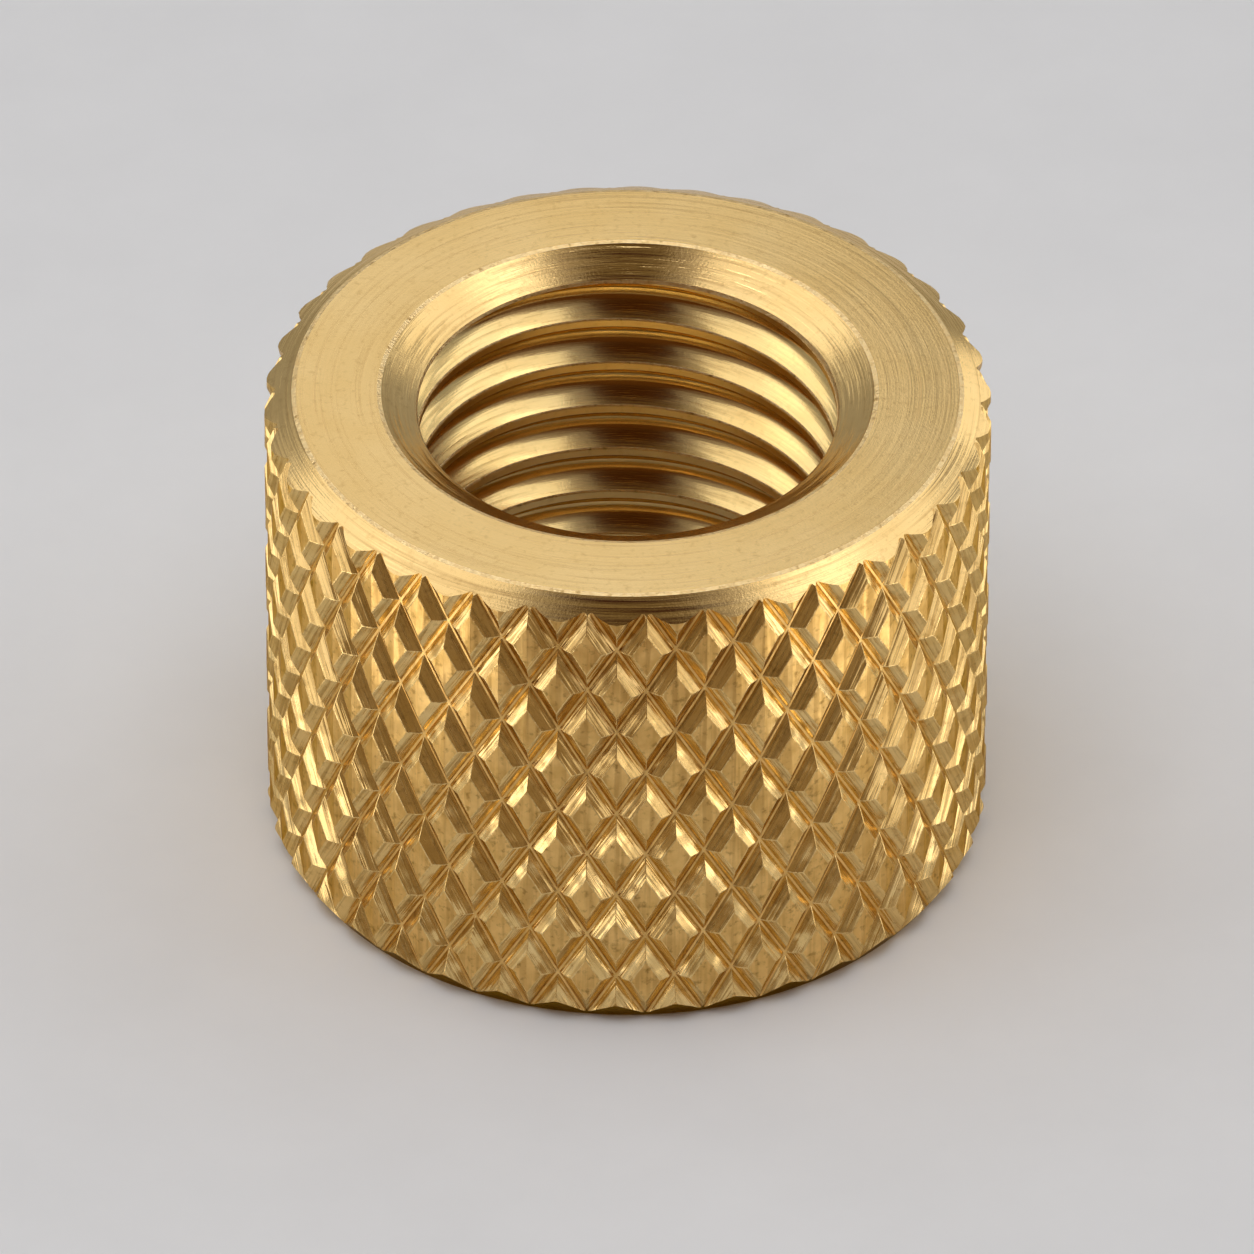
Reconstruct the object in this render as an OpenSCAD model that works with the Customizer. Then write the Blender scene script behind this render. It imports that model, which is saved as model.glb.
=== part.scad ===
// Knurled nut: a short round nut turned from brass bar, with a diamond knurl all round
// and a thread bored through. Millimetres, +Z up, origin at the centre of the lower face.

/* [Body] */
// Diameter over the knurl teeth
body_d = 17; // [15:0.1:20]
// Height between the two end faces
body_h = 12.2; // [8:0.1:16]

/* [Knurl] */
// Diamonds once round the body
knurl_count = 38; // [28:1:42]
// Axial length of one diamond, groove crossing to groove crossing
knurl_rise = 2.4; // [1.8:0.05:3.2]
// Depth of the grooves below the tooth tops
knurl_depth = 0.25; // [0.15:0.01:0.4]
// Flat top of a tooth as a part of its cell
tooth_flat = 0.5; // [0.25:0.01:0.6]
// Floor of a groove as a part of a cell
groove_floor = 0.04; // [0.01:0.005:0.1]

/* [Ends] */
// Width of the upper chamfer, measured along the radius
top_chamfer_w = 0.7; // [0.5:0.05:1]
// Height of the upper chamfer, measured along the axis
top_chamfer_h = 0.4; // [0.25:0.05:0.9]
// Width of the lower chamfer, measured along the radius
foot_chamfer_w = 0.4; // [0.4:0.05:1]
// Height of the lower chamfer, measured along the axis
foot_chamfer_h = 0.6; // [0.25:0.05:0.9]

/* [Bore] */
// Diameter at the thread crests
bore_d = 9.8; // [7:0.05:11]
// Diameter of the countersink mouth at each end face
countersink_d = 11.6; // [11.2:0.05:12.6]
// Included angle of the countersink
countersink_angle = 120; // [90:5:130]

/* [Hidden] */
$fn = 128;
body_r = body_d / 2;
floor_r = body_r - knurl_depth;
mid_z = body_h / 2;
// Angle and height between one groove crossing and the tooth beside it
cell_turn = 180 / knurl_count;
cell_step = knurl_rise / 2;
columns = 2 * knurl_count;
// Rows of teeth above and below mid height, with one spare row for the end cuts
half_rows = floor(mid_z / cell_step) + 1;
tip_step = half_rows + 2;
tooth_base = 1 - groove_floor;
// Corner numbers of a tooth, the same order for its base and its flat top
west = 0;
south = 1;
east = 2;
north = 3;
top_corner = 4;
tooth_corners = 8;
body_points = tooth_corners * knurl_count * (2 * half_rows + 1);
upper_ring = body_points;
lower_ring = upper_ring + knurl_count;
upper_tip = lower_ring + knurl_count;
lower_tip = upper_tip + 1;
// Clear reach of the cutting bodies past the part
reach = body_r / 4;
countersink_depth = (countersink_d - bore_d) / 2 / tan(countersink_angle / 2);
eps = 0.01;

// A point of the knurl at a radius, a column and a row of the lattice
function lattice_point(r, column, row) = [
    r * cos(column * cell_turn),
    r * sin(column * cell_turn),
    mid_z + row * cell_step
];

// First tooth column of a row, as teeth and crossings change places row by row
function first_tooth(row) = 1 - abs(row) % 2;

// Place of a column in its ring, counted once round
function ring_place(column) = floor(((column + columns) % columns) / 2);

// Number of a tooth corner in the point list
function corner(column, row, which) =
    tooth_corners * ((row + half_rows) * knurl_count + ring_place(column)) + which;

// Four corners of a diamond about a tooth centre, at one radius
function diamond(r, part, column, row) = [
    lattice_point(r, column - part, row),
    lattice_point(r, column, row - part),
    lattice_point(r, column + part, row),
    lattice_point(r, column, row + part)
];

// Upper and lower corner of a groove crossing
function crossing_north(column, row) =
    row < half_rows ? corner(column, row + 1, south) : upper_ring + ring_place(column);
function crossing_south(column, row) =
    row > -half_rows ? corner(column, row - 1, north) : lower_ring + ring_place(column);

// A face of four corners as two triangles
function split(a, b, c, d) = [[c, b, a], [d, c, a]];

// One sloped wall of a tooth, from one corner to the next
function wall(column, row, from, to) = split(
    corner(column, row, from),
    corner(column, row, to),
    corner(column, row, to + top_corner),
    corner(column, row, from + top_corner)
);

// All faces of one tooth: flat top and four walls
function tooth_faces(column, row) = concat(
    split(
        corner(column, row, south + top_corner),
        corner(column, row, east + top_corner),
        corner(column, row, north + top_corner),
        corner(column, row, west + top_corner)
    ),
    wall(column, row, west, south),
    wall(column, row, south, east),
    wall(column, row, east, north),
    wall(column, row, north, west)
);

// Floor of a groove crossing
function crossing_faces(column, row) = split(
    corner(column - 1, row, east),
    crossing_south(column, row),
    corner(column + 1, row, west),
    crossing_north(column, row)
);

// Floors of the two grooves that run down from a tooth
function groove_faces(column, row) = concat(
    split(
        corner(column, row, south),
        corner(column + 1, row - 1, west),
        corner(column + 1, row - 1, north),
        corner(column, row, east)
    ),
    split(
        corner(column, row, west),
        corner(column - 1, row - 1, north),
        corner(column - 1, row - 1, east),
        corner(column, row, south)
    )
);

// Edge of the knurl above its last row, closed to a tip on the axis
function upper_edge(column) = [
    corner(column, half_rows, west),
    corner(column, half_rows, north),
    corner(column, half_rows, east),
    crossing_north(column + 1, half_rows),
    corner(column + 2, half_rows, west)
];
function lower_edge(column) = [
    corner(column, -half_rows, west),
    corner(column, -half_rows, south),
    corner(column, -half_rows, east),
    crossing_south(column + 1, -half_rows),
    corner(column + 2, -half_rows, west)
];

// Bar stock with the knurl rolled in, longer than the nut at both ends
module knurled_bar() {
    rows = [-half_rows:half_rows];
    places = [0:knurl_count - 1];
    teeth = [
        for (row = rows, k = places)
            [2 * k + first_tooth(row), row]
    ];
    crossings = [
        for (row = rows, k = places)
            [2 * k + 1 - first_tooth(row), row]
    ];
    edge_tooth = first_tooth(half_rows);
    edge_crossing = 1 - edge_tooth;
    points = concat(
        [
            for (t = teeth)
                each concat(
                    diamond(floor_r, tooth_base, t[0], t[1]),
                    diamond(body_r, tooth_flat, t[0], t[1])
                )
        ],
        [
            for (k = places)
                lattice_point(floor_r, 2 * k + edge_crossing, half_rows + groove_floor)
        ],
        [
            for (k = places)
                lattice_point(floor_r, 2 * k + edge_crossing, -half_rows - groove_floor)
        ],
        [
            lattice_point(0, 0, tip_step),
            lattice_point(0, 0, -tip_step)
        ]
    );
    faces = concat(
        [
            for (t = teeth)
                each tooth_faces(t[0], t[1])
        ],
        [
            for (c = crossings)
                each crossing_faces(c[0], c[1])
        ],
        [
            for (t = teeth)
                if (t[1] > -half_rows)
                    each groove_faces(t[0], t[1])
        ],
        [
            for (k = places)
                let (e = upper_edge(2 * k + edge_tooth))
                    for (n = [0:len(e) - 2])
                        [upper_tip, e[n + 1], e[n]]
        ],
        [
            for (k = places)
                let (e = lower_edge(2 * k + edge_tooth))
                    for (n = [0:len(e) - 2])
                        [e[n], e[n + 1], lower_tip]
        ]
    );
    polyhedron(points = points, faces = faces);
}

// Facing cut with its chamfer, made at the lower end and looking down
module facing_cut(chamfer_w, chamfer_h) {
    slope = chamfer_h / chamfer_w;
    far_r = body_r + reach;
    far_z = -tip_step * cell_step;
    rotate_extrude()
        polygon([
            [0, far_z],
            [far_r, far_z],
            [far_r, chamfer_h + slope * reach],
            [body_r - chamfer_w, 0],
            [0, 0]
        ]);
}

// Countersink at the lower end, opening downwards
module countersink_cut() {
    flare = tan(countersink_angle / 2);
    translate([0, 0, -reach])
        cylinder(
            h = reach + countersink_depth,
            r1 = countersink_d / 2 + reach * flare,
            r2 = bore_d / 2
        );
}

module knurled_nut() {
    color("goldenrod")
        difference() {
            knurled_bar();
            facing_cut(foot_chamfer_w, foot_chamfer_h);
            translate([0, 0, body_h])
                mirror([0, 0, 1])
                    facing_cut(top_chamfer_w, top_chamfer_h);
            translate([0, 0, -eps])
                cylinder(h = body_h + 2 * eps, d = bore_d);
            countersink_cut();
            translate([0, 0, body_h])
                mirror([0, 0, 1])
                    countersink_cut();
        }
}

knurled_nut();
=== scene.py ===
# Knurled brass nut: looks, light and camera
import math

import bmesh
import bpy
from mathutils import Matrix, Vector


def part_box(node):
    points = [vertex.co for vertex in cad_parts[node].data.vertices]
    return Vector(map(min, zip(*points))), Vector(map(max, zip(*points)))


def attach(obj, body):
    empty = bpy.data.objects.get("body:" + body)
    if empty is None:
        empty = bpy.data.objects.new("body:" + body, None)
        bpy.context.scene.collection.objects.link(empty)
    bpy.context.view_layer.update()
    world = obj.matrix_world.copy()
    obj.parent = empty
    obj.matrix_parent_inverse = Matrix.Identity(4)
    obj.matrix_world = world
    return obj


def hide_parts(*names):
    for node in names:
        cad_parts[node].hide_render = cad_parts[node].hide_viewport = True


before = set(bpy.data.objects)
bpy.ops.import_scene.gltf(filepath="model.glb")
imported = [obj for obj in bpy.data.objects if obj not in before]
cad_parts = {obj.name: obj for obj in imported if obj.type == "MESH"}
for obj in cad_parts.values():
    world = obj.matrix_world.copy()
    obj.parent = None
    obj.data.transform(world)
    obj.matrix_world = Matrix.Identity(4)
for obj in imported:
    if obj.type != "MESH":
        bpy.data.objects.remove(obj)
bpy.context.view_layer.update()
print("frame loaded")

mm = 0.001                      # the nut is modelled in millimetres and scaled at the end
micron = 0.001 * mm
slack = 0.01                    # how near a vertex has to be to a radius or a level, millimetres
lowCorner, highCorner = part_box("knurled_nut")
nutRadius = (highCorner.x - lowCorner.x) / 2 / mm
nutHeight = (highCorner.z - lowCorner.z) / mm


# Small helpers

def deselectAll():
    if bpy.context.mode != "OBJECT":
        bpy.ops.object.mode_set(mode="OBJECT")
    bpy.ops.object.select_all(action="DESELECT")


def takeUp(piece):
    deselectAll()
    piece.select_set(True)
    bpy.context.view_layer.objects.active = piece


def openMesh(piece):
    takeUp(piece)
    bpy.ops.object.mode_set(mode="EDIT")


def closeMesh():
    bpy.ops.object.mode_set(mode="OBJECT")


def pick(piece, kind, test):    # selects verts, edges or faces that pass the test
    modes = {"verts": "VERT", "edges": "EDGE", "faces": "FACE"}
    bpy.ops.mesh.select_mode(type=modes[kind])
    bpy.ops.mesh.select_all(action="DESELECT")
    shell = bmesh.from_edit_mesh(piece.data)
    shell.normal_update()
    for item in getattr(shell, kind):
        if test(item):
            item.select_set(True)
    bmesh.update_edit_mesh(piece.data)


def paint(piece, slot):         # gives the selected faces a material slot
    piece.active_material_index = slot
    bpy.ops.object.material_slot_assign()


def modify(piece, kind, **values):
    takeUp(piece)
    tool = piece.modifiers.new(kind.lower(), kind)
    for name, value in values.items():
        setattr(tool, name, value)
    bpy.ops.object.modifier_apply(modifier=tool.name)


def placeApplied(piece, **transform):
    takeUp(piece)
    for name, value in transform.items():
        setattr(piece, name, value)
    bpy.ops.object.transform_apply(location=True, rotation=True, scale=True)


def ringRadius(item):           # distance of a vertex from the axis
    return math.hypot(item.co.x, item.co.y)


# Shader helpers

def addNode(tree, kind, **values):
    node = tree.nodes.new(kind)
    for name, value in values.items():
        setattr(node, name, value)
    return node


def plug(tree, source, target):     # links a socket, or sets a plain value
    if isinstance(source, bpy.types.NodeSocket):
        tree.links.new(source, target)
    else:
        target.default_value = source


def calc(tree, operation, first, second=0.0, third=0.0):
    node = addNode(tree, "ShaderNodeMath", operation=operation)
    plug(tree, first, node.inputs[0])
    plug(tree, second, node.inputs[1])
    plug(tree, third, node.inputs[2])
    return node.outputs[0]


def vectorOf(tree, x, y, z):
    node = addNode(tree, "ShaderNodeCombineXYZ")
    plug(tree, x, node.inputs[0])
    plug(tree, y, node.inputs[1])
    plug(tree, z, node.inputs[2])
    return node.outputs[0]


def grain(tree, vector, scale, detail=2.0, rough=0.5):
    node = addNode(tree, "ShaderNodeTexNoise")
    plug(tree, vector, node.inputs["Vector"])
    plug(tree, scale, node.inputs["Scale"])
    plug(tree, detail, node.inputs["Detail"])
    plug(tree, rough, node.inputs["Roughness"])
    return node.outputs["Fac"]


def spread(tree, value, low, high, outLow=0.0, outHigh=1.0):    # stretches a value to a new range
    node = addNode(tree, "ShaderNodeMapRange", clamp=True)
    plug(tree, value, node.inputs["Value"])
    plug(tree, low, node.inputs["From Min"])
    plug(tree, high, node.inputs["From Max"])
    plug(tree, outLow, node.inputs["To Min"])
    plug(tree, outHigh, node.inputs["To Max"])
    return node.outputs[0]


def newGroup(name, inputs, outputs):
    tree = bpy.data.node_groups.new(name, "ShaderNodeTree")
    for label, value in inputs.items():
        socket = tree.interface.new_socket(name=label, in_out="INPUT", socket_type="NodeSocketFloat")
        socket.default_value = value
    for label in outputs:
        tree.interface.new_socket(name=label, in_out="OUTPUT", socket_type="NodeSocketFloat")
    return tree, addNode(tree, "NodeGroupInput"), addNode(tree, "NodeGroupOutput")


def nutPlace(tree):             # position on the nut, in millimetres
    place = addNode(tree, "ShaderNodeTexCoord")
    scaled = addNode(tree, "ShaderNodeVectorMath", operation="SCALE")
    plug(tree, place.outputs["Object"], scaled.inputs[0])
    plug(tree, 1 / mm, scaled.inputs["Scale"])
    return scaled.outputs[0]


def cylinderPlace(tree):        # the same as x, y, height and distance from the axis
    parts = addNode(tree, "ShaderNodeSeparateXYZ")
    plug(tree, nutPlace(tree), parts.inputs[0])
    x, y, z = parts.outputs
    squares = calc(tree, "ADD", calc(tree, "MULTIPLY", x, x), calc(tree, "MULTIPLY", y, y))
    return x, y, z, calc(tree, "SQRT", squares)


turnedMarks = {
    "lines": 14.0,              # to a millimetre, where a finish gives no number of its own
    "length": 1.6,              # how often a line fades on its way round
    "bands": 4.6,               # broad bands to a millimetre
    "lineHeight": 0.6,
    "bandHeight": 0.9,
    "streak": (0.52, 0.72),     # noise at which a line begins to look worn, and at which it is
}


# Rings left by the lathe tool: fine lines at a constant radius that fade in and out along their length
def turnedMarksGroup():
    tree, given, result = newGroup(
        "turnedMarks",
        {"Lines per mm": turnedMarks["lines"], "Line length": turnedMarks["length"]},
        ["Height", "Streak"],
    )
    x, y, _, radius = cylinderPlace(tree)
    acrossX = calc(tree, "MULTIPLY", calc(tree, "DIVIDE", x, radius), given.outputs["Line length"])
    acrossY = calc(tree, "MULTIPLY", calc(tree, "DIVIDE", y, radius), given.outputs["Line length"])
    fine = vectorOf(tree, calc(tree, "MULTIPLY", radius, given.outputs["Lines per mm"]), acrossX, acrossY)
    broad = vectorOf(tree, calc(tree, "MULTIPLY", radius, turnedMarks["bands"]), acrossX, acrossY)
    lines = grain(tree, fine, scale=1.0, detail=3.0, rough=0.6)
    bands = grain(tree, broad, scale=1.0, detail=2.0, rough=0.5)
    lineHeight = calc(tree, "MULTIPLY", lines, turnedMarks["lineHeight"])
    bandHeight = calc(tree, "MULTIPLY", bands, turnedMarks["bandHeight"])
    plug(tree, calc(tree, "ADD", lineHeight, bandHeight), result.inputs["Height"])
    plug(tree, spread(tree, lines, *turnedMarks["streak"]), result.inputs["Streak"])
    return tree


grooveMarks = {
    "lines": 14.0,              # to a millimetre, where a finish gives no number of its own
    "fade": 0.4,                # how often a mark fades along the groove
    "streak": (0.46, 0.6),
}


# Drag marks along a groove of the knurl, leaning to the right or to the left
def grooveMarksGroup():
    tree, given, result = newGroup(
        "grooveMarks",
        {"Lean": 1.0, "Lines per mm": grooveMarks["lines"]},
        ["Height", "Streak"],
    )
    x, y, z, radius = cylinderPlace(tree)
    around = calc(tree, "MULTIPLY", calc(tree, "ARCTAN2", x, calc(tree, "MULTIPLY", y, -1.0)), nutRadius)
    lean = math.atan2(math.pi * 2 * nutRadius / knurl["count"], knurl["rise"])
    rise = calc(tree, "MULTIPLY", calc(tree, "MULTIPLY", z, math.sin(lean)), given.outputs["Lean"])
    across = calc(tree, "SUBTRACT", calc(tree, "MULTIPLY", around, math.cos(lean)), rise)
    run = calc(tree, "MULTIPLY", calc(tree, "MULTIPLY", around, math.sin(lean)), given.outputs["Lean"])
    along = calc(tree, "ADD", calc(tree, "MULTIPLY", z, math.cos(lean)), run)
    density = given.outputs["Lines per mm"]
    fine = vectorOf(
        tree,
        calc(tree, "MULTIPLY", across, density),
        calc(tree, "MULTIPLY", radius, density),
        calc(tree, "MULTIPLY", along, grooveMarks["fade"]),
    )
    lines = grain(tree, fine, scale=1.0, detail=2.0, rough=0.55)
    plug(tree, lines, result.inputs["Height"])
    plug(tree, spread(tree, lines, *grooveMarks["streak"]), result.inputs["Streak"])
    return tree


# Slow change of tone over the brass, with small dull spots
def brassToneGroup():
    tree, given, result = newGroup("brassTone", {"Patch size mm": 3.0}, ["Tone", "Spots", "Grain", "Waves"])
    place = nutPlace(tree)
    patchScale = calc(tree, "DIVIDE", 1.0, given.outputs["Patch size mm"])
    patches = grain(tree, place, patchScale, detail=4.0, rough=0.6)
    specks = grain(tree, place, scale=5.5, detail=3.0, rough=0.6)
    plug(tree, spread(tree, patches, low=0.3, high=0.7), result.inputs["Tone"])
    plug(tree, spread(tree, specks, low=0.55, high=0.73), result.inputs["Spots"])
    plug(tree, grain(tree, place, scale=16.0, detail=2.0, rough=0.6), result.inputs["Grain"])
    plug(tree, grain(tree, place, scale=1.3, detail=1.0, rough=0.5), result.inputs["Waves"])
    return tree


knurl = {
    "count": 38,                # diamonds once round
    "rise": 2.4,                # length of a diamond along the axis
    "depth": 0.25,
    "flatShare": 0.5,           # flat top as a part of the cell
    "floorShare": 0.04,         # groove floor as a part of the cell
    "steepWidth": 0.30,         # part of a wall's width that is its steeper foot
    "steepDepth": 0.36,         # part of its depth
    "crown": 0.034,             # fall of a flat from its crease to its side corners
    "brokenEdge": 0.016,
    "unevenness": 0.025,        # how deep the rolled surface wavers
    "unevenSize": 0.8,          # and over what length
}

groups = {
    "turned": turnedMarksGroup(),
    "groove": grooveMarksGroup(),
    "tone": brassToneGroup(),
}

brass = {                       # tones of the metal; edge is the tint that it takes at a grazing angle
    "turned": {
        "light": (0.89, 0.635, 0.285, 1),
        "deep": (0.83, 0.565, 0.225, 1),
        "dull": (0.45, 0.27, 0.09, 1),
        "edge": (0.92, 0.83, 0.66, 1),
    },
    "rolled": {
        "light": (0.86, 0.555, 0.20, 1),
        "deep": (0.65, 0.39, 0.115, 1),
        "dull": (0.31, 0.175, 0.045, 1),
        "edge": (0.46, 0.34, 0.19, 1),
    },
    # paler brass for broken rims and thread crests: part burnished wear, part painted highlight that makes
    # them read as bright lines
    "burnishAndHighlight": {
        "light": (0.95, 0.74, 0.40, 1),
        "deep": (0.88, 0.62, 0.28, 1),
        "dull": (0.50, 0.31, 0.11, 1),
        "edge": (0.92, 0.83, 0.66, 1),
    },
    "drawn": {
        "light": (0.88, 0.64, 0.285, 1),
        "deep": (0.77, 0.53, 0.20, 1),
        "dull": (0.36, 0.215, 0.065, 1),
        "edge": (0.78, 0.64, 0.43, 1),
    },
    "amber": {
        "light": (0.95, 0.72, 0.33, 1),
        "deep": (0.91, 0.63, 0.24, 1),
        "dull": (0.55, 0.33, 0.10, 1),
        "edge": (0.95, 0.85, 0.65, 1),
    },
    # darker brass for the foot chamfer: painted shade standing in for the contact shadow at the base
    "paintedFootShade": {
        "light": (0.52, 0.33, 0.11, 1),
        "deep": (0.38, 0.23, 0.07, 1),
        "dull": (0.20, 0.12, 0.035, 1),
        "edge": (0.38, 0.29, 0.18, 1),
    },
}

finishes = {                    # one for each kind of surface on the nut; depth in microns
    "toothFlat": {
        "tones": "rolled", "patch": 0.6, "mottle": 0.7,
        "marks": "groove", "lean": 0.0, "lines": 7.0, "depth": 6.0, "grain": 0.6, "streaks": 0.3,
        "rough": (0.30, 0.42), "waves": 7.0, "anisotropic": 0.0,
    },
    "wallFalling": {
        "tones": "drawn", "patch": 1.2, "mottle": 0.4,
        "marks": "groove", "lean": -1.0, "lines": 13.0, "depth": 16.0, "grain": 0.06, "streaks": 0.4,
        "rough": (0.16, 0.28), "waves": 5.0, "anisotropic": 0.0,
    },
    # rising walls carry heavier dull streaks than the falling walls: part drag marks, part painted shade that
    # keeps them darker
    "wallRising": {
        "tones": "drawn", "patch": 1.2, "mottle": 0.4,
        "marks": "groove", "lean": 1.0, "lines": 12.0, "depth": 20.0, "grain": 0.06, "streaks": 0.6,
        "rough": (0.18, 0.32), "waves": 4.0, "anisotropic": 0.0,
    },
    "grooveFloor": {
        "tones": "rolled", "patch": 1.5, "mottle": 0.3,
        "marks": "groove", "lean": 0.0, "lines": 10.0, "depth": 3.0, "grain": 0.4, "streaks": 0.1,
        "rough": (0.28, 0.40), "waves": 0.0, "anisotropic": 0.0,
    },
    "toothEdge": {
        "tones": "drawn", "patch": 0.5, "mottle": 0.8,
        "marks": "groove", "lean": 0.0, "lines": 12.0, "depth": 12.0, "grain": 1.0, "streaks": 0.4,
        "rough": (0.26, 0.42), "waves": 0.0, "anisotropic": 0.0,
    },
    # broken edges take the paler brass: part burnished wear, part painted highlight
    "brightEdge": {
        "tones": "burnishAndHighlight", "patch": 0.3, "mottle": 1.0,
        "marks": "groove", "lean": 0.0, "lines": 12.0, "depth": 24.0, "grain": 1.0, "streaks": 0.0,
        "rough": (0.34, 0.52), "waves": 0.0, "anisotropic": 0.0,
    },
    "turnedFace": {
        "tones": "turned", "patch": 3.0, "mottle": 0.3,
        "marks": "turned", "lines": 12.0, "depth": 6.0, "grain": 0.4, "streaks": 0.2,
        "rough": (0.22, 0.34), "waves": 0.0, "anisotropic": 0.4,
    },
    "turnedCone": {
        "tones": "turned", "patch": 3.0, "mottle": 0.3,
        "marks": "turned", "lines": 11.0, "depth": 22.0, "grain": 0.1, "streaks": 0.5,
        "rough": (0.15, 0.25), "waves": 0.0, "anisotropic": 0.3,
    },
    # the foot chamfer takes the darker brass, painted shade for the contact shadow at the base
    "footCone": {
        "tones": "paintedFootShade", "patch": 1.0, "mottle": 0.6,
        "marks": "turned", "lines": 11.0, "depth": 10.0, "grain": 0.4, "streaks": 0.4,
        "rough": (0.26, 0.40), "waves": 0.0, "anisotropic": 0.0,
    },
    "boreCrest": {
        "tones": "amber", "patch": 2.0, "mottle": 0.2,
        "marks": "turned", "lines": 11.0, "depth": 6.0, "grain": 0.4, "streaks": 0.3,
        "rough": (0.30, 0.44), "waves": 0.0, "anisotropic": 0.0,
    },
    "threadFlank": {
        "tones": "amber", "patch": 3.0, "mottle": 0.2,
        "marks": "turned", "lines": 11.0, "depth": 10.0, "grain": 0.1, "streaks": 0.25,
        "rough": (0.15, 0.26), "waves": 0.0, "anisotropic": 0.3,
    },
}
slotOrder = list(finishes)


def brassFinish(name, finish):
    material = bpy.data.materials.new(name)
    material.use_nodes = True
    tree = material.node_tree
    surface = tree.nodes["Principled BSDF"]
    surface.inputs["Metallic"].default_value = 1.0
    surface.inputs["Anisotropic"].default_value = finish["anisotropic"]
    metal = brass[finish["tones"]]
    surface.inputs["Specular Tint"].default_value = metal["edge"]

    tone = addNode(tree, "ShaderNodeGroup", node_tree=groups["tone"])
    tone.inputs["Patch size mm"].default_value = finish["patch"]
    marks = addNode(tree, "ShaderNodeGroup", node_tree=groups[finish["marks"]])
    marks.inputs["Lines per mm"].default_value = finish["lines"]
    if "lean" in finish:
        marks.inputs["Lean"].default_value = finish["lean"]

    body = addNode(tree, "ShaderNodeMix", data_type="RGBA")
    plug(tree, tone.outputs["Tone"], body.inputs["Factor"])
    body.inputs["A"].default_value = metal["deep"]
    body.inputs["B"].default_value = metal["light"]
    # mix towards the dull tone by spots and streaks: wear, and on the rising walls partly painted shade
    worn = addNode(tree, "ShaderNodeMix", data_type="RGBA")
    dimmed = calc(tree, "MULTIPLY", marks.outputs["Streak"], finish["streaks"])
    wearAndShade = calc(tree, "MULTIPLY_ADD", tone.outputs["Spots"], finish["mottle"], dimmed)
    plug(tree, wearAndShade, worn.inputs["Factor"])
    plug(tree, body.outputs["Result"], worn.inputs["A"])
    worn.inputs["B"].default_value = metal["dull"]
    plug(tree, worn.outputs["Result"], surface.inputs["Base Color"])

    low, high = finish["rough"]
    plug(tree, spread(tree, marks.outputs["Streak"], 0.0, 1.0, low, high), surface.inputs["Roughness"])

    height = calc(tree, "MULTIPLY_ADD", tone.outputs["Grain"], finish["grain"], marks.outputs["Height"])
    height = calc(tree, "MULTIPLY_ADD", tone.outputs["Waves"], finish["waves"], height)
    bump = addNode(tree, "ShaderNodeBump")
    bump.inputs["Strength"].default_value = 1.0
    bump.inputs["Distance"].default_value = finish["depth"] * micron
    plug(tree, height, bump.inputs["Height"])
    plug(tree, bump.outputs["Normal"], surface.inputs["Normal"])
    return material


materials = [brassFinish(name, finish) for name, finish in finishes.items()]
print("finishes made:", ", ".join(slotOrder))


def giveSlots(piece):
    for material in materials:
        piece.data.materials.append(material)


# One diamond of the knurl, lying in the XZ plane and facing the viewer
def makeTooth():
    halfWidth = math.pi * nutRadius / knurl["count"]
    halfRise = knurl["rise"] / 2
    inward = halfWidth * halfRise / math.hypot(halfWidth, halfRise)    # centre to side
    deselectAll()
    bpy.ops.mesh.primitive_circle_add(vertices=4, radius=1, fill_type="NGON", rotation=(math.pi / 2, 0, 0))
    tooth = bpy.context.object
    tooth.name = "tooth"
    giveSlots(tooth)
    placeApplied(tooth, scale=(halfWidth, halfRise, 1))

    openMesh(tooth)
    pick(tooth, "faces", lambda face: True)
    paint(tooth, slotOrder.index("grooveFloor"))
    bpy.ops.mesh.inset(thickness=knurl["floorShare"] * inward)
    wallWidth = (1 - knurl["floorShare"] - knurl["flatShare"]) * inward
    steepWidth = wallWidth * knurl["steepWidth"]
    steepDepth = knurl["depth"] * knurl["steepDepth"]
    bpy.ops.mesh.inset(thickness=steepWidth, depth=steepDepth)
    bpy.ops.mesh.inset(thickness=wallWidth - steepWidth, depth=knurl["depth"] - steepDepth)
    paint(tooth, slotOrder.index("toothFlat"))
    sloped = 0.05                                                     # product of a wall's normal parts
    pick(tooth, "faces", lambda face: face.normal.x * face.normal.z > sloped)
    paint(tooth, slotOrder.index("wallFalling"))
    pick(tooth, "faces", lambda face: face.normal.x * face.normal.z < -sloped)
    paint(tooth, slotOrder.index("wallRising"))

    flatLevel = -0.9 * knurl["depth"]
    crownedLevel = -0.8 * knurl["depth"]                              # takes in the lowered corners
    ridgeClimb = 0.2 * knurl["depth"]
    creaseReach = 0.1 * halfWidth
    onFlat = lambda vert: vert.co.y < flatLevel
    onCrease = lambda vert: abs(vert.co.x) < creaseReach
    pick(tooth, "verts", lambda vert: onFlat(vert) and onCrease(vert))
    bpy.ops.mesh.vert_connect()                                       # the crease down the flat
    pick(tooth, "verts", lambda vert: onFlat(vert) and not onCrease(vert))
    bpy.ops.transform.translate(value=(0, knurl["crown"], 0))

    flatEdge = lambda edge: all(vert.co.y < crownedLevel for vert in edge.verts)
    crease = lambda edge: flatEdge(edge) and all(onCrease(vert) for vert in edge.verts)
    ridge = lambda edge: abs(edge.verts[0].co.y - edge.verts[1].co.y) > ridgeClimb
    pick(tooth, "edges", lambda edge: ridge(edge) or flatEdge(edge) and not crease(edge))
    bpy.ops.mesh.bevel(offset=knurl["brokenEdge"], segments=1, affect="EDGES",
                       material=slotOrder.index("toothEdge"))
    closeMesh()
    return tooth


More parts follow.
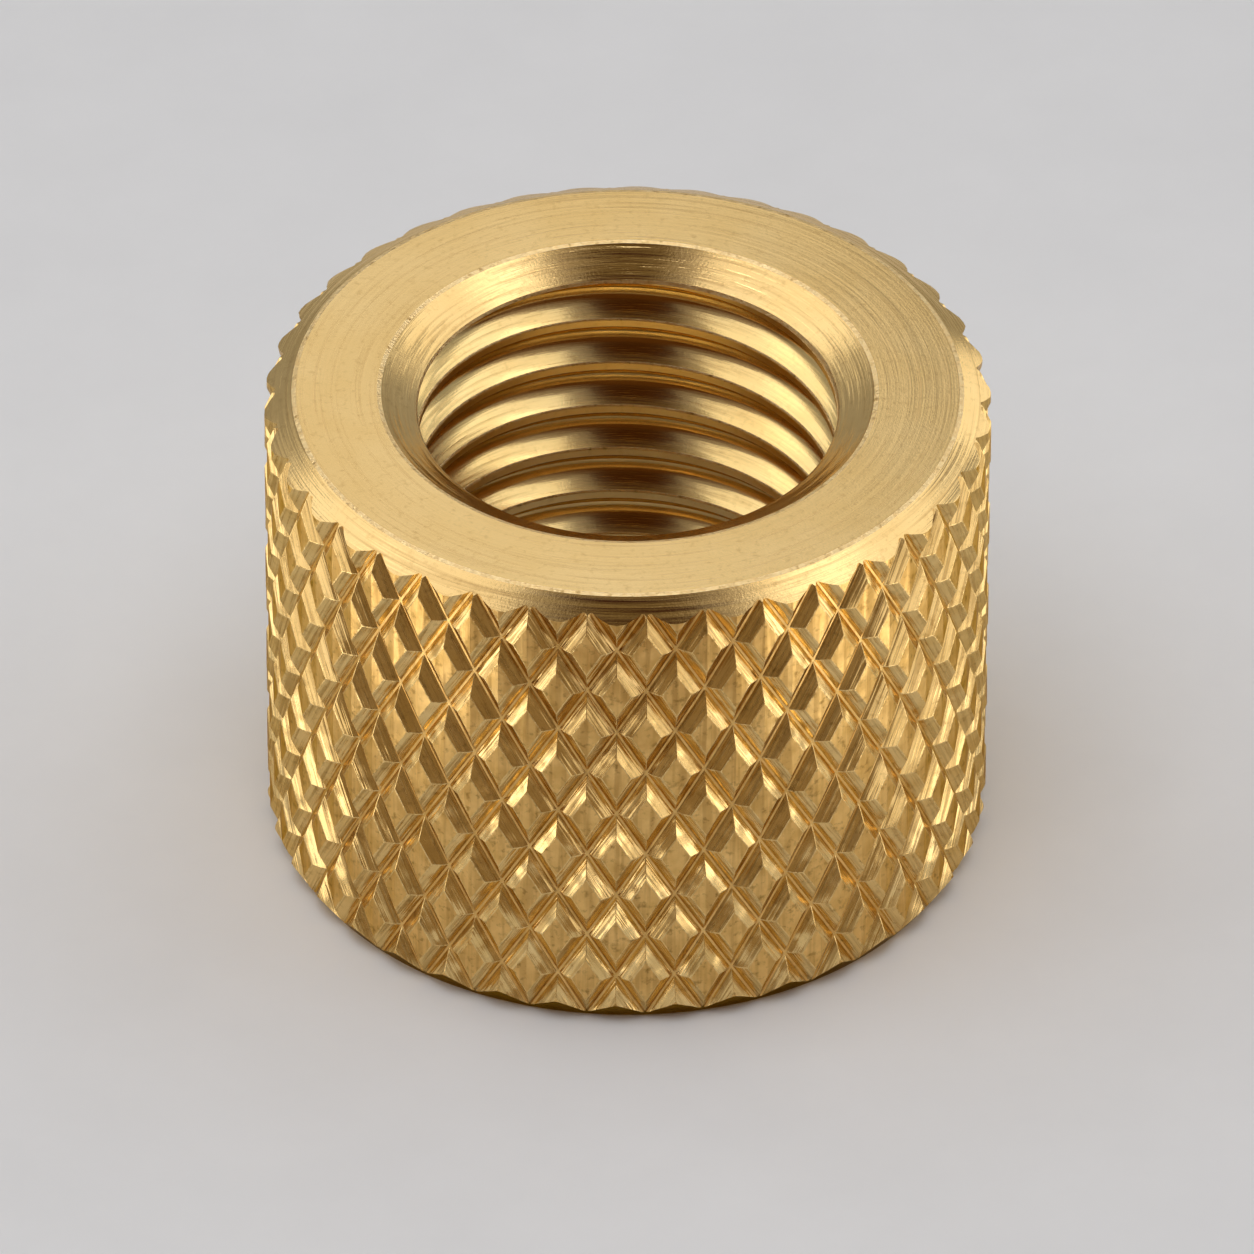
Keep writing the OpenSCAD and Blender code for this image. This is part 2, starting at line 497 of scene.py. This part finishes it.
# The rolled sleeve: rows of diamonds bent round the axis and closed at both ends
def rollKnurl():
    tooth = makeTooth()
    print("tooth faces:", len(tooth.data.polygons))
    width = 2 * math.pi * nutRadius / knurl["count"]
    halfRise = knurl["rise"] / 2
    pairsBelow = math.ceil((nutHeight / 2 / halfRise + 1) / 2)
    startHeight = nutHeight / 2 - pairsBelow * knurl["rise"]
    placeApplied(tooth, location=(0, knurl["depth"], startHeight))
    plainArray = {"use_relative_offset": False, "use_constant_offset": True, "use_merge_vertices": True,
                  "merge_threshold": 0.002}
    modify(tooth, "ARRAY", count=knurl["count"], constant_offset_displace=(width, 0, 0), **plainArray)
    modify(tooth, "ARRAY", count=2, constant_offset_displace=(width / 2, 0, halfRise), **plainArray)
    modify(tooth, "ARRAY", count=2 * pairsBelow + 1,
           constant_offset_displace=(0, 0, knurl["rise"]), **plainArray)
    turn = 2 * math.pi * (knurl["count"] + 0.5) / knurl["count"]       # half a cell overlaps at the back
    modify(tooth, "SIMPLE_DEFORM", deform_method="BEND", deform_axis="Z", angle=turn)
    placeApplied(tooth, location=(0, -nutRadius, 0))
    openMesh(tooth)
    bpy.ops.mesh.select_all(action="SELECT")
    bpy.ops.mesh.remove_doubles(threshold=0.005)
    closeMesh()
    clouds = bpy.data.textures.new("rolledUnevenness", "CLOUDS")
    clouds.noise_scale = knurl["unevenSize"]
    modify(tooth, "DISPLACE", texture=clouds, texture_coords="LOCAL", direction="NORMAL",
           strength=knurl["unevenness"], mid_level=1.0)
    openMesh(tooth)
    bpy.ops.mesh.select_all(action="SELECT")
    bpy.ops.mesh.fill_holes(sides=0)
    bpy.ops.mesh.select_all(action="SELECT")
    bpy.ops.mesh.normals_make_consistent(inside=False)
    closeMesh()
    tooth.name = "knurlSleeve"
    print("knurl rolled:", len(tooth.data.polygons), "faces")
    return tooth


turning = {
    "steps": 384,               # sides of the turned surfaces
    "margin": 0.5,              # stock left outside the knurl, cut away with it
    "topChamfer": (0.7, 0.4),   # along the radius, along the axis
    "footChamfer": (0.4, 0.6),
    "mouthRadius": 5.8,         # countersink at the face
    "boreRadius": 4.9,          # at the thread crests
    "countersinkAngle": 120,
    "rimEdge": 0.055,           # width that is broken off each rim
    "endNormal": 0.9,           # upward part of a normal on an end cap
    "faceNormal": 0.99,         # on a finished face
    "coneNormal": 0.1,          # least on a cone
}


# The turned blank: end faces, chamfers, countersinks and bore, all from one cylinder
def turnBlank():
    stockRadius = nutRadius + turning["margin"]
    sinkWidth = turning["mouthRadius"] - turning["boreRadius"]
    sinkDepth = sinkWidth / math.tan(math.radians(turning["countersinkAngle"] / 2))
    footRadius = nutRadius - turning["footChamfer"][0] - slack
    deselectAll()
    bpy.ops.mesh.primitive_cylinder_add(vertices=turning["steps"], radius=stockRadius, depth=nutHeight,
                                        end_fill_type="NGON", location=(0, 0, nutHeight / 2))
    blank = bpy.context.object
    blank.name = "turnedBlank"
    giveSlots(blank)
    placeApplied(blank)
    cone = slotOrder.index("turnedCone")
    face = slotOrder.index("turnedFace")
    ends = (
        (1, nutHeight, turning["topChamfer"]),
        (-1, 0, turning["footChamfer"]),
    )
    openMesh(blank)
    for up, level, (width, height) in ends:
        faceRadius = nutRadius - width
        pick(blank, "faces", lambda side: side.normal.z * up > turning["endNormal"] and len(side.verts) > 4)
        bpy.ops.mesh.inset(thickness=stockRadius - faceRadius)
        bpy.ops.mesh.inset(thickness=faceRadius - turning["mouthRadius"])
        bpy.ops.mesh.inset(thickness=sinkWidth, depth=-sinkDepth)
        atRim = lambda vert: ringRadius(vert) > stockRadius - slack and abs(vert.co.z - level) < slack
        pick(blank, "verts", atRim)
        fall = (stockRadius - faceRadius) * height / width
        bpy.ops.transform.translate(value=(0, 0, -up * fall))
    pick(blank, "faces", lambda side: len(side.verts) > 4)
    bpy.ops.mesh.bridge_edge_loops()
    pick(blank, "faces", lambda side: True)
    paint(blank, cone)
    pick(blank, "faces", lambda side: abs(side.normal.z) > turning["faceNormal"])
    paint(blank, face)
    outside = lambda side: all(ringRadius(vert) > footRadius for vert in side.verts)
    fallsAway = lambda side: turning["coneNormal"] < -side.normal.z < turning["endNormal"]
    pick(blank, "faces", lambda side: fallsAway(side) and outside(side))
    paint(blank, slotOrder.index("footCone"))
    inBore = lambda side: all(ringRadius(vert) < turning["boreRadius"] + slack for vert in side.verts)
    pick(blank, "faces", inBore)
    paint(blank, slotOrder.index("boreCrest"))
    rims = []
    for up, level, (width, height) in ends:
        rims += [(nutRadius - width, level), (turning["mouthRadius"], level)]
        rims += [(turning["boreRadius"], level - up * sinkDepth)]
    near = lambda value, target: abs(value - target) < slack
    onRim = lambda vert, radius, level: near(ringRadius(vert), radius) and near(vert.co.z, level)
    isRim = lambda edge: any(all(onRim(vert, *rim) for vert in edge.verts) for rim in rims)
    # the broken rims take the brightEdge finish, whose paler brass is partly a painted highlight along each
    # rim
    pick(blank, "edges", isRim)
    edge = slotOrder.index("brightEdge")
    bpy.ops.mesh.bevel(offset=turning["rimEdge"], segments=1, affect="EDGES", material=edge)
    bpy.ops.mesh.select_all(action="SELECT")
    bpy.ops.mesh.normals_make_consistent(inside=False)
    closeMesh()
    print("blank turned:", len(blank.data.polygons), "faces")
    return blank


thread = {
    "pitch": 1.27,
    "startDepth": 1.107,        # middle of the first full groove below the face, at the back of the bore
    "steps": 120,
    "root": (5.415, 0.08),      # radius and width at the bottom of the groove
    "flank": (                  # lean from upright and length of each step, then the rolled crest
        (8, 0.030), (17, 0.038), (26, 0.046), (35, 0.062), (43, 0.085), (49, 0.105),
        (53, 0.110), (56, 0.110), (59, 0.100), (45, 0.030), (20, 0.020),
    ),
    "rolled": 3,                # steps of the flank that are the crest
    "mouth": (4.70, 1.14),      # radius and width inside the bore, clear of its wall
    "toBack": 0.25,             # turns from where the sweep starts to the back of the bore
    "edgeSlack": 0.001,
    "crestSlack": 0.002,
    "runOut": 0.56,             # the groove ends this far from each face, just past the countersink
}


# The thread cutter: a groove swept up the axis as a right-hand helix
def sweepThread():
    radius, width = thread["root"]
    profile = [(radius, width)]
    for lean, length in thread["flank"]:
        radius -= length * math.sin(math.radians(lean))
        width += 2 * length * math.cos(math.radians(lean))
        profile.append((radius, width))
    crestRadius = profile[-thread["rolled"]][0]
    profile.append(thread["mouth"])
    print("thread crest:", [round(value, 3) for value in profile[-2]])
    rootRadius, rootWidth = profile[0]
    firstRadius, firstWidth = profile[1]
    depth = rootRadius - firstRadius
    turnsBelow = math.ceil(nutHeight / thread["pitch"]) + 1
    backLevel = nutHeight - thread["startDepth"]
    startLevel = backLevel - thread["pitch"] * (thread["toBack"] + turnsBelow - 1)
    deselectAll()
    bpy.ops.mesh.primitive_plane_add(size=1, rotation=(math.pi / 2, 0, 0))
    cutter = bpy.context.object
    cutter.name = "threadCutter"
    giveSlots(cutter)
    placeApplied(cutter, scale=(depth, rootWidth, 1))
    placeApplied(cutter, location=((rootRadius + firstRadius) / 2, 0, 0))
    openMesh(cutter)
    pick(cutter, "faces", lambda side: True)
    paint(cutter, slotOrder.index("threadFlank"))
    innerReach = firstRadius + thread["edgeSlack"]
    pick(cutter, "edges", lambda edge: all(vert.co.x < innerReach for vert in edge.verts))
    bpy.ops.transform.resize(value=(1, 1, firstWidth / rootWidth))
    radius, width = firstRadius, firstWidth
    for nextRadius, nextWidth in profile[2:]:
        bpy.ops.mesh.extrude_region_move(TRANSFORM_OT_translate={"value": (nextRadius - radius, 0, 0)})
        bpy.ops.transform.resize(value=(1, 1, nextWidth / width))
        radius, width = nextRadius, nextWidth
    pick(cutter, "faces", lambda side: True)
    bpy.ops.mesh.dissolve_faces()                                     # one outline to sweep
    closeMesh()
    placeApplied(cutter, location=(0, 0, startLevel))
    modify(cutter, "SCREW", axis="Z", angle=2 * math.pi, screw_offset=thread["pitch"],
           iterations=turnsBelow + 2, steps=thread["steps"], render_steps=thread["steps"])
    openMesh(cutter)
    # the rolled crest faces take the brightEdge finish, whose paler brass is partly a painted highlight along
    # each crest
    crestReach = crestRadius + thread["crestSlack"]
    pick(cutter, "faces", lambda side: all(ringRadius(vert) < crestReach for vert in side.verts))
    paint(cutter, slotOrder.index("brightEdge"))
    bpy.ops.mesh.select_all(action="SELECT")
    bpy.ops.mesh.fill_holes(sides=0)
    for up, level in ((1, nutHeight - thread["runOut"]), (-1, thread["runOut"])):
        bpy.ops.mesh.select_all(action="SELECT")
        bpy.ops.mesh.bisect(plane_co=(0, 0, level), plane_no=(0, 0, up), use_fill=True, clear_outer=True)
    bpy.ops.mesh.select_all(action="SELECT")
    bpy.ops.mesh.normals_make_consistent(inside=False)
    closeMesh()
    print("thread swept:", len(cutter.data.polygons), "faces")
    return cutter


smoothAngle = math.radians(10)


def cutNut():
    nut = rollKnurl()
    blank = turnBlank()
    cutter = sweepThread()
    modify(nut, "BOOLEAN", operation="INTERSECT", object=blank, solver="EXACT", material_mode="INDEX")
    print("faced and chamfered:", len(nut.data.polygons), "faces")
    modify(nut, "BOOLEAN", operation="DIFFERENCE", object=cutter, solver="EXACT", material_mode="INDEX")
    print("thread cut:", len(nut.data.polygons), "faces")
    for tool in (blank, cutter):
        bpy.data.objects.remove(tool)
    takeUp(nut)
    bpy.ops.object.shade_smooth_by_angle(angle=smoothAngle)
    nut.name = "knurledNut"
    placeApplied(nut, scale=(mm, mm, mm))
    return nut


nut = cutNut()
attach(nut, "root")
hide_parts("knurled_nut")
print("nut:", [round(side / mm, 3) for side in nut.dimensions], "mm")


stage = {
    "size": 1.2,
    "tone": (0.826, 0.846, 0.878, 1),
    "shade": 0.97,              # darkest mottle as a part of the tone
    "mottle": 260.0,            # to a metre
    "rough": 0.85,
    "shine": 0.1,
}


def layFloor():
    deselectAll()
    bpy.ops.mesh.primitive_plane_add(size=stage["size"])
    floor = bpy.context.object
    floor.name = "studioFloor"
    material = bpy.data.materials.new("paleFloor")
    material.use_nodes = True
    tree = material.node_tree
    surface = tree.nodes["Principled BSDF"]
    surface.inputs["Roughness"].default_value = stage["rough"]
    surface.inputs["Specular IOR Level"].default_value = stage["shine"]
    place = addNode(tree, "ShaderNodeTexCoord")
    mottle = grain(tree, place.outputs["Object"], stage["mottle"], detail=4.0, rough=0.6)
    shade = addNode(tree, "ShaderNodeMix", data_type="RGBA")
    plug(tree, spread(tree, mottle, low=0.3, high=0.7), shade.inputs["Factor"])
    shade.inputs["A"].default_value = tuple(value * stage["shade"] for value in stage["tone"][:3]) + (1,)
    shade.inputs["B"].default_value = stage["tone"]
    plug(tree, shade.outputs["Result"], surface.inputs["Base Color"])
    floor.data.materials.append(material)


layFloor()
print("floor laid")


flag = {                        # dark curved card before the nut, seen only in the metal; millimetres
    "radius": 36,
    "inner": 24,                # its foot lies flat on the floor to here
    "lift": 0.2,
    "height": 20,
    "sides": 72,
    "left": -78,                # bearings of its ends from the front, degrees
    "right": 78,
    "tone": (0.50, 0.37, 0.215, 1),
    "rough": 0.9,
}


def standFlag():
    deselectAll()
    middle = flag["lift"] + flag["height"] / 2
    bpy.ops.mesh.primitive_cylinder_add(vertices=flag["sides"], radius=flag["radius"] * mm,
                                        depth=flag["height"] * mm, end_fill_type="NOTHING",
                                        location=(0, 0, middle * mm))
    card = bpy.context.object
    card.name = "frontFlag"
    placeApplied(card)
    bearing = lambda side: math.degrees(math.atan2(side.calc_center_median().x, -side.calc_center_median().y))
    openMesh(card)
    pick(card, "faces", lambda side: not flag["left"] < bearing(side) < flag["right"])
    bpy.ops.mesh.delete(type="FACE")
    pick(card, "edges", lambda edge: all(vert.co.z < 2 * flag["lift"] * mm for vert in edge.verts))
    bpy.ops.mesh.extrude_region_move()
    narrow = flag["inner"] / flag["radius"]
    bpy.ops.transform.resize(value=(narrow, narrow, 1), center_override=(0, 0, flag["lift"] * mm))
    closeMesh()
    material = bpy.data.materials.new("darkFlag")
    material.use_nodes = True
    surface = material.node_tree.nodes["Principled BSDF"]
    surface.inputs["Base Color"].default_value = flag["tone"]
    surface.inputs["Roughness"].default_value = flag["rough"]
    surface.inputs["Specular IOR Level"].default_value = 0.0
    card.data.materials.append(material)
    card.visible_camera = False
    card.visible_diffuse = False
    card.visible_shadow = False


standFlag()
print("flag stood")


# Turn is the bearing from the back, clockwise from above, and lift the angle above the floor, in
# degrees; away and size are in metres
lamps = {                       # seen by the floor and in the metal
    "leftOverhead": {"turn": -75, "lift": 55, "away": 0.5, "size": (0.52, 0.34), "glow": 0.8},
    "rightOverhead": {"turn": 75, "lift": 55, "away": 0.5, "size": (0.52, 0.33), "glow": 0.7},
}
floorLamps = {                  # seen by the floor alone
    "topFill": {"turn": -165, "lift": 73, "away": 0.4, "size": (0.32, 0.32), "glow": 2.0},
    "leftFill": {"turn": -90, "lift": 25, "away": 0.4, "size": (0.3, 0.2), "glow": 0.5},
    "rightFill": {"turn": 90, "lift": 25, "away": 0.4, "size": (0.3, 0.2), "glow": 0.5},
}
cards = {                       # seen in the metal alone
    "leftShoulder": {"turn": -75, "lift": 56, "away": 0.49, "size": (0.80, 0.46), "glow": 0.13},
    "leftHaze": {"turn": -75, "lift": 56, "away": 0.48, "size": (1.10, 0.46), "glow": 0.07},
    "rightSheen": {"turn": 75, "lift": 55, "away": 0.49, "size": (0.51, 0.32), "glow": 0.08},
    "rightShoulder": {"turn": 75, "lift": 56, "away": 0.48, "size": (0.80, 0.46), "glow": 0.13},
    "rightHaze": {"turn": 75, "lift": 56, "away": 0.47, "size": (1.10, 0.46), "glow": 0.07},
    "rimStrip": {"turn": 0, "lift": 69, "away": 0.1, "size": (0.06, 0.022), "glow": 2.4},
    "backPanel": {"turn": -10, "lift": 46, "away": 0.07, "size": (0.04, 0.036), "glow": 0.55},
    "chamferCard": {"turn": 50, "lift": 27, "away": 0.0325, "size": (0.012, 0.012), "glow": 0.85},
    "leftHeart": {"turn": -84, "lift": 44, "away": 0.44, "size": (0.14, 0.16), "glow": 0.3},
    "rightHeart": {"turn": 78, "lift": 62, "away": 0.44, "size": (0.12, 0.10), "glow": 0.7},
    "leftNearCard": {"turn": -122.4, "lift": 7, "away": 0.0158, "size": (0.0076, 0.011), "glow": 0.92},
    "rightNearCard": {"turn": 122.4, "lift": 7, "away": 0.0158, "size": (0.0076, 0.011), "glow": 0.82},
    "rightFrontCard": {"turn": 145.4, "lift": 7, "away": 0.0164, "size": (0.0058, 0.011), "glow": 0.75},
    "leftLowCard": {"turn": -123.4, "lift": -13, "away": 0.02, "size": (0.0123, 0.0028), "glow": 1.6},
    "rightLowCard": {"turn": 123.4, "lift": -13, "away": 0.02, "size": (0.0123, 0.0028), "glow": 1.6},
    "leftCard": {"turn": -74, "lift": 2, "away": 0.0245, "size": (0.030, 0.014), "glow": 1.2},
    "rightCard": {"turn": 74, "lift": 2, "away": 0.0245, "size": (0.030, 0.014), "glow": 1.2},
}


def hangLamps(row, onFloor=True, inMetal=True):
    aim = Vector((0, 0, nutHeight / 2 * mm))
    for name, lamp in row.items():
        turn = math.radians(lamp["turn"])
        lift = math.radians(lamp["lift"])
        toLamp = Vector((math.sin(turn) * math.cos(lift), math.cos(turn) * math.cos(lift), math.sin(lift)))
        light = bpy.data.lights.new(name, "AREA")
        light.shape = "RECTANGLE"
        light.size, light.size_y = lamp["size"]
        light.energy = lamp["glow"] * math.pi * light.size * light.size_y
        holder = bpy.data.objects.new(name, light)
        bpy.context.scene.collection.objects.link(holder)
        holder.location = aim + toLamp * lamp["away"]
        holder.rotation_euler = toLamp.to_track_quat("Z", "Y").to_euler()
        holder.visible_camera = False
        holder.visible_diffuse = onFloor
        holder.visible_glossy = inMetal
    print("hung:", ", ".join(row))


hangLamps(lamps)
hangLamps(floorLamps, inMetal=False)
hangLamps(cards, onFloor=False)


sky = {                         # brightness of the room by height above the horizon, sine of the angle
    "levels": (
        (0.0, (0.34, 0.34, 0.34, 1)), (0.3, (0.34, 0.34, 0.34, 1)), (0.62, (0.315, 0.315, 0.315, 1)),
        (0.82, (0.175, 0.155, 0.13, 1)), (0.95, (0.16, 0.118, 0.06, 1)),
    ),
    "front": (0.02, -0.30),     # where it starts to darken towards the viewer, and where it ends
    "frontTint": (0.24, 0.09, 0.018, 1),
}


def setRoom():
    world = bpy.data.worlds.new("studioRoom")
    bpy.context.scene.world = world
    world.use_nodes = True
    tree = world.node_tree
    glow = tree.nodes["Background"]
    place = addNode(tree, "ShaderNodeTexCoord")
    parts = addNode(tree, "ShaderNodeSeparateXYZ")
    plug(tree, place.outputs["Generated"], parts.inputs[0])
    ramp = addNode(tree, "ShaderNodeValToRGB")
    plug(tree, parts.outputs["Z"], ramp.inputs["Fac"])
    steps = ramp.color_ramp.elements
    while len(steps) < len(sky["levels"]):
        steps.new(0.5)
    for step, (height, tone) in zip(steps, sky["levels"]):
        step.position = height
        step.color = tone
    begin, end = sky["front"]
    dim = addNode(tree, "ShaderNodeMix", data_type="RGBA", blend_type="MULTIPLY")
    plug(tree, spread(tree, parts.outputs["Y"], end, begin, 1.0, 0.0), dim.inputs["Factor"])
    plug(tree, ramp.outputs["Color"], dim.inputs["A"])
    dim.inputs["B"].default_value = sky["frontTint"]
    plug(tree, dim.outputs["Result"], glow.inputs["Color"])


setRoom()
print("room set")


picture = {
    "pixels": 1254,
    "pixelsPerRadius": 361.41,  # scale of the nut in the picture
    "distance": 60.0,           # in nut radii
    "lift": 37.79,
    "turn": -3.14,
    "roll": 0.0034,
    "aimHeight": 0.612,         # in nut radii
    "sensor": 36,
    "clip": (0.01, 10),
}


def setCamera():
    radius = nutRadius * mm
    lift = math.radians(picture["lift"])
    turn = math.radians(picture["turn"])
    away = Vector((math.sin(turn) * math.cos(lift), -math.cos(turn) * math.cos(lift), math.sin(lift)))
    camera = bpy.data.cameras.new("pictureCamera")
    camera.sensor_width = picture["sensor"]
    camera.lens = picture["pixelsPerRadius"] * picture["distance"] / picture["pixels"] * camera.sensor_width
    camera.clip_start, camera.clip_end = picture["clip"]
    holder = bpy.data.objects.new("pictureCamera", camera)
    bpy.context.scene.collection.objects.link(holder)
    holder.location = Vector((0, 0, picture["aimHeight"] * radius)) + away * picture["distance"] * radius
    holder.rotation_euler = away.to_track_quat("Z", "Y").to_euler()
    holder.rotation_euler.rotate_axis("Z", picture["roll"])
    bpy.context.scene.camera = holder


setCamera()
bpy.context.scene.view_settings.view_transform = "Standard"
print("camera set")
